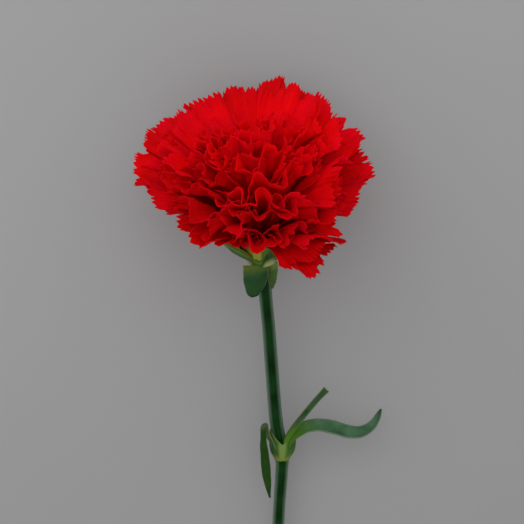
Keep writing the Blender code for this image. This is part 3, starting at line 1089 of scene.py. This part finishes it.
        half = petal.half_width * (self.claw + (1 - self.claw) * along**1.15)
        wave = math.pi * petal.waves * across / 2 + math.radians(petal.phase)
        fine = math.pi * petal.waves * draw.uniform(2.1, 2.9) * across / 2 + draw.uniform(0, 6.3)
        ruffle = petal.ruffle * (1 - self.flatter_below * math.sin(azimuth)) * along**self.fold_onset
        flat = half * across - 0.35 * ruffle * np.sin(2 * wave)
        lift = petal.cup * half * across**2 + ruffle * np.sin(wave)
        lift = lift + petal.frill * along**self.frill_onset * np.sin(fine)
        lift = lift + 0.5 * along**2 * math.sin(draw.uniform(0, 6.3)) * np.sin(7 * along)
        twist = math.radians(petal.twist) * along
        side = flat * np.cos(twist) - lift * np.sin(twist)
        rise = flat * np.sin(twist) + lift * np.cos(twist)

        outward = np.array([math.cos(azimuth), math.sin(azimuth), 0])
        sideways = np.array([-math.sin(azimuth), math.cos(azimuth), 0])
        axis = np.array([0.0, 0.0, 1.0])
        points = (
            outward * (radius - np.cos(angle) * rise)[..., None]
            + axis * (height + np.sin(angle) * rise)[..., None]
            + sideways * side[..., None]
        )
        # Painted light brightens the heart's petals and painted shade darkens the outer petals on the stem's
        # side, over a random tone.
        inmost = max(0.0, 1 - petal.tilt / 45)
        lowest = petal.tilt / 50 * max(0.0, -math.sin(azimuth))
        shade = draw.uniform(-1, 1) + self.painted_light_heart * inmost - self.painted_shade_below * lowest
        return Sheet(self.head.placed(points), across, along, min(shade, self.lightest))

    def _piece(
        self, name: str, petals: list[Petal], crimp: float, seed: int, trees: Trees, finish: Material
    ) -> None:
        """Builds a layer of petals as one piece.

        Args:
            name: The piece's name.
            petals: Its petals.
            crimp: How tall their crimps are, in millimetres.
            seed: The seed of their margins.
            trees: The geometry node trees.
            finish: The petals' material.
        """
        draw = random.Random(seed)
        body = sheet_object(name, [self._sheet(petal, draw) for petal in petals])
        values = {"Crimp Height": crimp * MM, "Crimp Size": 0.0055, "Seed": float(seed), "Material": finish}
        finish_sheet(body, trees.petals, values, self.thickness, "petal", "bloom")

    def build(self, trees: Trees, finishes: Palette) -> None:
        """Builds and dresses the petals, layer by layer.

        Args:
            trees: The geometry node trees.
            finishes: Every finish by name.
        """
        whorls = self._drawn(self.whorls, self.seed)
        fillers = self._drawn(self.fillers, self.seed + 1)
        layers = {
            "petals_outer": [*self.guards, *self.front], "petals_under": list(self.under),
            "petals_second": [*fillers[0], *whorls[0]], "petals_third": [*fillers[1], *whorls[1]],
            "petals_fourth": [*fillers[2], *whorls[2]], "petals_heart": [*fillers[3], *whorls[3], *fillers[4]]
        }
        for number, (name, petals) in enumerate(layers.items()):
            self._piece(name, petals, self.crimps[number], 40 + number, trees, finishes["petal"])


@dataclass
class Calyx:
    """The green cup that holds the petals' feet, split into five spread lobes."""

    head: Head = field(default_factory=Head)
    profile: tuple[Numbers, ...] = (
        (0.8, -7.5), (2.2, -7.4), (3.6, -7.0), (4.6, -6.4), (5.3, -5.5), (6.0, -4.0), (6.8, -2.0), (7.4, 0.0)
    )
    claws: tuple[Numbers, ...] = (
        (3.6, -6.2), (4.8, -5.0), (5.5, -3.4), (6.1, -1.6), (6.4, 0.2), (5.9, 1.8), (4.4, 3.0), (2.2, 3.7),
        (0.2, 3.8)
    )
    wall: float = 0.5
    sides: int = 240
    rim: float = -0.8
    # Azimuth, half width, length, flare from the axis, and how far below the mouth the flare begins.
    lobes: tuple[Numbers, ...] = (
        (-172, 52, 6.7, 35, 5.0), (-66, 26, 4.8, 8, 0.5), (-12, 30, 3.6, 10, 0.5), (62, 44, 5.0, 24, 1.0),
        (132, 34, 5.6, 40, 3.0)
    )
    notch: Numbers = (-103, 22, -2.6)  # azimuth, half width, depth

    def _reach(self, turn: np.ndarray) -> np.ndarray:
        """How far the rim reaches past the mouth, less than 0 where it is split.

        Args:
            turn: Azimuths, in degrees.

        Returns:
            The reach at each, in millimetres.
        """
        longest = np.full(turn.shape, self.rim)
        for azimuth, half_width, length, _, _ in self.lobes:
            away = np.abs((turn - azimuth + 180) % 360 - 180) / half_width
            lobe = self.rim + (length - self.rim) * np.clip(1 - away**1.8, 0, None) ** 0.8
            longest = np.maximum(longest, lobe)
        azimuth, half_width, depth = self.notch
        away = np.abs((turn - azimuth + 180) % 360 - 180) / half_width
        return longest + depth * np.clip(1 - away**2, 0, None)

    def _wall(self, inset: float) -> np.ndarray:
        """One face of the cup, from its base to its rim, in the head's frame.

        Args:
            inset: How far the face lies inside the outer one, in millimetres.

        Returns:
            Its points, row by row.
        """
        turn = np.arange(self.sides) * 360 / self.sides
        cup = smooth_route(np.array([(r, h, 0.0) for r, h in self.profile]), 0.5)[:, :2]
        step = np.linalg.norm(np.diff(cup, axis=0), axis=1)
        passed = np.concatenate([[0.0], np.cumsum(step)])
        length = passed[-1] + self._reach(turn)[None, :]
        place = np.linspace(0, 1, 30)[:, None] * length
        azimuth = [lobe[0] for lobe in self.lobes]
        slope = np.radians(np.interp(turn, azimuth, [lobe[3] for lobe in self.lobes], period=360))
        low = np.interp(turn, azimuth, [lobe[4] for lobe in self.lobes], period=360)
        past = np.clip(place - passed[-1], 0, None)
        bent = np.clip(place - passed[-1] + low, 0, None)
        radius = np.interp(place, passed, cup[:, 0]) + bent * np.sin(slope)
        height = np.interp(place, passed, cup[:, 1]) + past - bent * (1 - np.cos(slope))
        radius = np.maximum(radius - inset, 0.3)
        height = height + inset / 2
        angle = np.radians(turn)
        return np.stack([radius * np.cos(angle), radius * np.sin(angle), height], axis=-1)

    def build(self, trees: Trees, finishes: Palette) -> None:
        """Builds and dresses the cup, its green outside and its pale lining.

        Args:
            trees: The geometry node trees.
            finishes: Every finish by name.
        """
        around = 2 * np.arange(self.sides) / self.sides - 1
        for name, inset, finish in (
            ("calyx_cup", 0.0, finishes["calyx"]), ("calyx_lining", self.wall, finishes["calyx_lining"])
        ):
            points = self._wall(inset)
            along = np.linspace(0, 1, len(points))[:, None]
            sheet = Sheet(self.head.placed(points), around, along, 0.0, closed=True)
            values = relief(40.0, 0.00008, 0.0002, 3.0, finish)
            finish_sheet(sheet_object(name, [sheet]), trees.blade, values, self.wall, "calyx", "calyx")
        self._build_claws(trees, finishes["claws"])

    def _build_claws(self, trees: Trees, finish: Material) -> None:
        """Fills the cup with the pale bundle of the petals' claws.

        Args:
            trees: The geometry node trees.
            finish: The claws' material.
        """
        rows = smooth_route(np.array([(r, h, 0.0) for r, h in self.claws]), 0.4)
        turn = np.arange(self.sides) / self.sides
        angle = 2 * math.pi * turn[None, :]
        radius = rows[:, :1] * (1 + 0.03 * np.sin(21 * angle))
        points = np.stack([radius * np.cos(angle), radius * np.sin(angle), rows[:, 1:2] + 0 * angle], axis=-1)
        along = np.linspace(0, 1, len(rows))[:, None]
        body = sheet_object(
            "petal_claws", [Sheet(self.head.placed(points), 2 * turn - 1, along, closed=True)]
        )
        finish_sheet(body, trees.blade, relief(33.0, 0.00020, 0.0006, 9.0, finish), self.wall, "petal")


# ---------------------------------------------------------------- stem, shoot and leaves


@dataclass(frozen=True)
class Stalk:
    """A round ribbed stalk along a route, cut off at its last end."""

    name: str
    node: str
    slot: str
    finish: str
    route: tuple[Numbers, ...]  # x, y, z, radius
    swellings: tuple[Numbers, ...] = ()  # y, extra radius, width
    ribs: float = 7.0
    rib_height: float = 0.10
    sides: int = 56
    slant: float = 0.0
    trim: float = 0.0008  # how far before the route's end the cut is, in metres
    seed: float = 1.0

    def _curve(self) -> Body:
        """The route as a curve with its radius at each point.

        Returns:
            The curve's object.
        """
        rows = smooth_route(np.array(self.route), 1.0)
        spots, radii = rows[:, :3], rows[:, 3] * MM
        for place, extra, width in self.swellings:
            radii = radii + extra * MM * np.exp(-(((spots[:, 1] - place) / width) ** 2))
        curve = bpy.data.curves.new(self.name, "CURVE")
        curve.dimensions = "3D"
        spline = curve.splines.new("POLY")
        spline.points.add(len(spots) - 1)
        places = np.concatenate([in_part(spots), np.ones((len(spots), 1))], axis=1)
        spline.points.foreach_set("co", places.ravel())
        spline.points.foreach_set("radius", radii)
        return new_body(self.name, curve)

    def _cut(self, body: Body, finish: Material) -> None:
        """Cuts the stalk's last end off at its slant, and closes it with a fresh face.

        Args:
            body: The stalk's mesh object.
            finish: The fresh face's material.
        """
        end, before = (in_part(np.array(point[:3])) for point in (self.route[-1], self.route[-2]))
        way = Vector(end - before).normalized()
        up = way.cross(Vector((1, 0, 0))).normalized()
        plane = (way + up * math.tan(math.radians(self.slant))).normalized()
        body.data.materials.append(finish)
        work = bmesh.new()
        work.from_mesh(body.data)
        spot = Vector(end) - way * self.trim
        cut = bmesh.ops.bisect_plane(
            work, geom=[*work.verts, *work.edges, *work.faces], plane_co=spot, plane_no=plane,
            clear_outer=True
        )
        edges = [item for item in cut["geom_cut"] if isinstance(item, bmesh.types.BMEdge)]
        filled = bmesh.ops.triangle_fill(work, edges=edges, normal=plane)
        for item in filled["geom"]:
            if isinstance(item, bmesh.types.BMFace):
                item.material_index = 1
                item.smooth = False
        bmesh.ops.recalc_face_normals(work, faces=work.faces)
        work.to_mesh(body.data)
        work.free()

    def build(self, trees: Trees, finishes: Palette) -> None:
        """Builds and dresses the stalk.

        Args:
            trees: The geometry node trees.
            finishes: Every finish by name.
        """
        body = self._curve()
        add_tree(
            body, trees.tube,
            {
                "Step": 0.0007, "Sides": self.sides, "Rib Count": self.ribs,
                "Rib Height": self.rib_height * MM, "Unevenness": 0.00015, "Seed": self.seed,
                "Material": finishes[self.finish]
            }
        )
        piece = baked(body)
        self._map(piece)
        self._cut(piece, finishes["pith"])
        place_piece(piece, self.slot, self.node)

    @staticmethod
    def _map(piece: Body) -> None:
        """Turns the stalk's attributes into the UV map that its finish reads.

        Args:
            piece: The stalk's mesh object.
        """
        mesh = piece.data
        around = read_all(mesh.attributes[AROUND].data, "value")
        along = read_all(mesh.attributes[ALONG].data, "value")
        corner = read_all(mesh.loops, "vertex_index", kind=np.int32)
        heights = read_all(mesh.vertices, "co", 3).reshape(-1, 3)[:, 2]
        # 0 across is put at the stalk's top, so that the finish's painted sheen falls on the flanks.
        middle = np.abs(along - 0.5) < 0.02
        highest = np.argmax(np.where(middle, heights, -1.0))
        around = 2 * ((around - around[highest] + 0.5) % 1.0) - 1
        uv = np.stack([around[corner], along[corner]], axis=1)
        start, size = (read_all(mesh.polygons, name, kind=np.int32) for name in ("loop_start", "loop_total"))
        for first in start[size == 4]:
            seam = uv[first : first + 4, 0]
            if seam.max() - seam.min() > 1.0:
                seam[seam < 0.0] += 2.0
        mesh.uv_layers.new(name=BLADE_UV).data.foreach_set("uv", uv.ravel())


@dataclass(frozen=True)
class Leaf:
    """A leaf or bract: a channelled blade through stations, each a middle and the vector to its edge."""

    name: str
    node: str
    slot: str
    finish: str
    stations: tuple[Numbers, ...]
    keel: float = 0.35
    thickness: float = 0.5
    veins: float = 7.0
    columns: int = 28
    wave: float = 0.15
    seed: float = 1.0

    def build(self, trees: Trees, finishes: Palette) -> None:
        """Builds and dresses the blade.

        Args:
            trees: The geometry node trees.
            finishes: Every finish by name.
        """
        rows = smooth_route(np.array(self.stations), 0.5)
        middle, side = rows[:, None, :3], rows[:, None, 3:]
        way = np.gradient(rows[:, :3], axis=0)[:, None, :]
        keel = np.cross(side, way)
        keel = keel / np.linalg.norm(keel, axis=-1, keepdims=True)
        half = np.linalg.norm(side, axis=-1, keepdims=True)
        across = np.linspace(-1, 1, self.columns + 1)[None, :, None]
        along = np.linspace(0, 1, len(rows))[:, None, None]
        ripple = self.wave * np.sin(along * 40 + 2 * np.sign(across)) * across**2
        points = middle + side * across - keel * (half * self.keel * (1 - across**2) + ripple)
        sheet = Sheet(in_part(points), across[..., 0], along[..., 0])
        values = relief(self.veins, 0.00007, 0.00018, self.seed, finishes[self.finish])
        finish_sheet(
            sheet_object(self.name, [sheet]), trees.blade, values, self.thickness, self.slot, self.node
        )


@dataclass(frozen=True)
class Joint:
    """The sheath where the two leaves clasp the stem: it bulges to both sides, and its margins part above."""

    # Middle x, y and z, half the width and half the depth.
    rings: tuple[Numbers, ...] = (
        (7.2, -76.1, 12.45, 2.2, 2.2), (7.25, -74.9, 12.6, 2.8, 2.5), (7.35, -73.4, 12.8, 3.7, 2.8),
        (7.4, -71.6, 13.0, 4.25, 3.0), (7.4, -69.4, 13.2, 4.4, 3.05), (7.2, -66.8, 13.5, 4.1, 3.0),
        (6.9, -64.2, 13.8, 3.6, 2.9)
    )
    parting: float = -70.0
    shoulder: float = -65.0
    thickness: float = 0.4
    sides: int = 96

    def build(self, trees: Trees, finishes: Palette) -> None:
        """Builds and dresses the sheath.

        Args:
            trees: The geometry node trees.
            finishes: Every finish by name.
        """
        rings = smooth_route(np.array(self.rings), 0.3)
        turn = np.arange(self.sides) / self.sides
        angle = 2 * math.pi * turn[None, :]
        top = self.parting + (self.shoulder - self.parting) * np.abs(np.sin(angle)) ** 1.3
        along = np.linspace(0, 1, 20)[:, None]
        y = rings[0, 1] + along * (top - rings[0, 1])
        x, z, width, depth = (np.interp(y, rings[:, 1], rings[:, k]) for k in (0, 2, 3, 4))
        points = np.stack([x + width * np.sin(angle), y, z + depth * np.cos(angle)], axis=-1)
        body = sheet_object("leaf_sheath", [Sheet(in_part(points), 2 * turn - 1, along, closed=True)])
        values = relief(13.0, 0.00006, 0.0003, 8.0, finishes["sheath"])
        finish_sheet(body, trees.blade, values, self.thickness, "leaf")


# From the flower's head down. Each leaf has the middle of each station and the vector to its edge.
GREENERY = (
    Stalk(
        "stem_skin", "stem", "stem", "stem",
        (
            (0.4, -5.6, 23.8, 2.3), (1.2, -13.5, 19.9, 2.25), (1.7, -20.0, 18.2, 2.2),
            (2.7, -30.3, 16.8, 2.2), (3.8, -45.0, 15.4, 2.25), (5.2, -62.0, 13.9, 2.25),
            (7.2, -73.0, 12.8, 2.15), (7.2, -80.0, 12.0, 2.1), (6.3, -94.0, 10.3, 2.05),
            (5.6, -112.0, 8.4, 2.0), (4.8, -140.0, 5.6, 2.0), (2.6, -179.4, 2.0, 2.0)
        ),
        swellings=((-76.0, 0.2, 1.6), (-140.0, 1.0, 3.2)), slant=35.0
    ),
    Stalk(
        "side_shoot_skin", "side_shoot", "stem", "shoot",
        (
            (8.3, -71.8, 14.4, 1.0), (8.9, -68.4, 15.6, 1.05), (10.9, -64.7, 16.9, 1.1),
            (13.4, -61.1, 18.0, 1.1), (16.3, -57.2, 19.3, 1.05), (19.8, -52.8, 20.7, 1.05),
            (22.9, -49.4, 21.8, 1.2)
        ),
        ribs=5.0, rib_height=0.07, sides=36, slant=8.0, seed=4.0
    ),
    Leaf(
        "leaf_right_blade", "leaf_right", "leaf", "leaf",
        (
            (8.3, -72.2, 15.3, 0.6, -0.3, 0.1), (9.1, -70.0, 16.1, 1.0, -0.6, 0.1),
            (10.4, -67.4, 16.5, 1.3, -1.0, 0.1), (12.6, -65.2, 16.7, 1.2, -1.5, 0.3),
            (16.0, -63.5, 16.8, 0.6, -1.8, 0.6), (20.4, -63.1, 16.4, -0.1, -2.0, 0.8),
            (25.4, -64.2, 15.6, -0.4, -2.1, 0.9), (30.7, -65.9, 14.3, -0.3, -2.0, 0.8),
            (34.9, -66.0, 13.0, 0.3, -1.8, 0.7), (38.3, -64.2, 11.8, 0.9, -1.1, 0.5),
            (40.5, -61.2, 10.9, 0.8, -0.5, 0.3), (41.6, -58.6, 10.4, 0.12, -0.05, 0.05)
        ),
        seed=2.0
    ),
    Leaf(
        "leaf_left_blade", "leaf_left", "leaf", "leaf_underside",
        (
            (5.2, -73.2, 13.8, 0.4, 0.3, 1.5), (4.1, -70.4, 14.6, 0.5, 0.4, 1.6),
            (2.7, -67.7, 15.6, 0.5, 0.4, 1.5), (1.8, -65.0, 16.6, 0.8, 0.4, 1.2),
            (1.3, -63.2, 17.6, 0.9, 0.4, 0.5), (0.9, -63.3, 18.5, 0.9, 0.5, 0.1),
            (0.8, -67.4, 18.4, 0.95, 0.2, 0.0), (1.0, -71.0, 17.8, 1.2, 0.2, 0.0),
            (1.5, -76.0, 16.4, 1.45, 0.2, 0.0), (1.9, -80.6, 14.6, 1.4, 0.2, 0.1),
            (2.5, -85.3, 12.6, 0.9, 0.2, 0.1), (3.1, -89.6, 11.0, 0.12, 0.05, 0.05)
        ),
        seed=5.0
    ),
    Leaf(
        "bract_front_blade", "bract_front", "bract", "bract",
        (
            (-1.8, -7.1, 27.2, 4.0, 0.4, -1.0), (-1.8, -9.7, 27.0, 4.1, 0.4, -1.2),
            (-2.0, -12.4, 25.9, 3.9, 0.3, -1.3), (-2.1, -14.9, 24.6, 3.2, 0.2, -1.1),
            (-2.5, -16.4, 23.6, 2.4, 0.1, -0.8), (-2.7, -17.7, 22.6, 1.6, 0.0, -0.5),
            (-3.0, -18.3, 21.9, 0.5, 0.0, -0.2)
        ),
        veins=9.0, seed=6.0
    ),
    Leaf(
        "bract_back_blade", "bract_back", "young_bract", "young_bract",
        (
            (3.9, -6.6, 23.6, 1.5, 0.0, -1.0), (3.9, -9.3, 22.4, 1.5, 0.0, -1.0),
            (3.8, -11.8, 21.4, 1.4, 0.0, -1.0), (3.6, -13.9, 20.6, 1.1, 0.0, -0.8),
            (3.5, -15.7, 19.9, 0.4, 0.0, -0.3)
        ),
        veins=5.0, seed=7.0
    ),
    Joint()
)


# ---------------------------------------------------------------- studio


@dataclass
class Studio:
    """The floor, the soft light and the camera."""

    aim: Numbers = (-0.20, 56.11, 27.0)
    distance: float = 485.0
    past_vertical: float = 4.0
    lens: float = 99.96
    floor_size: float = 6.0
    ambient: float = 0.80
    light_place: Numbers = (-0.30, 0.55, 1.45)
    light_size: float = 1.6
    light_power: float = 8.0

    def _floor(self, finish: Material) -> None:
        """Lays the plain floor.

        Args:
            finish: The floor's material.
        """
        half = self.floor_size / 2
        mesh = bpy.data.meshes.new("floor")
        mesh.from_pydata(
            [(-half, -half, 0), (half, -half, 0), (half, half, 0), (-half, half, 0)], [], [(0, 1, 2, 3)]
        )
        mesh.materials.append(finish)
        new_body("floor", mesh)

    def _light(self) -> None:
        """Hangs the soft square light, aimed at the flower."""
        lamp = bpy.data.lights.new("overhead_softbox", "AREA")
        lamp.size = self.light_size
        lamp.energy = self.light_power
        body = new_body("overhead_softbox", lamp)
        body.location = self.light_place
        body.rotation_euler = (-Vector(self.light_place)).to_track_quat("-Z", "Y").to_euler()

    def _camera(self) -> None:
        """Sets the camera above the flower, leaning a little past the vertical."""
        lean = math.radians(self.past_vertical)
        aim = Vector(self.aim) * MM
        back = Vector((0, math.sin(lean), math.cos(lean)))
        lens = bpy.data.cameras.new("camera")
        lens.lens = self.lens
        lens.sensor_width = 36
        lens.clip_start = 0.01
        body = new_body("camera", lens)
        right = Vector((1, 0, 0))
        upward = back.cross(right)
        turn = Matrix((right, upward, back)).transposed()
        body.matrix_world = Matrix.Translation(aim + back * self.distance * MM) @ turn.to_4x4()
        bpy.context.scene.camera = body

    def build(self, finish: Material) -> None:
        """Sets everything up round the flower.

        Args:
            finish: The floor's material.
        """
        scene = bpy.context.scene
        scene.view_settings.view_transform = "Standard"
        world = bpy.data.worlds.new("studio")
        scene.world = world
        world.use_nodes = True
        world.node_tree.nodes["Background"].inputs["Color"].default_value = (1, 1, 1, 1)
        world.node_tree.nodes["Background"].inputs["Strength"].default_value = self.ambient
        self._floor(finish)
        self._light()
        self._camera()
        log.info("studio set")


def main() -> None:
    """Builds the flower and its studio."""
    logging.basicConfig(level=logging.INFO, format="%(message)s")
    finishes = make_finishes()
    trees = Trees()
    Bloom().build(trees, finishes)
    Calyx().build(trees, finishes)
    for piece in GREENERY:
        piece.build(trees, finishes)
    Studio().build(finishes["backdrop"])


if __name__ == "__main__":
    main()
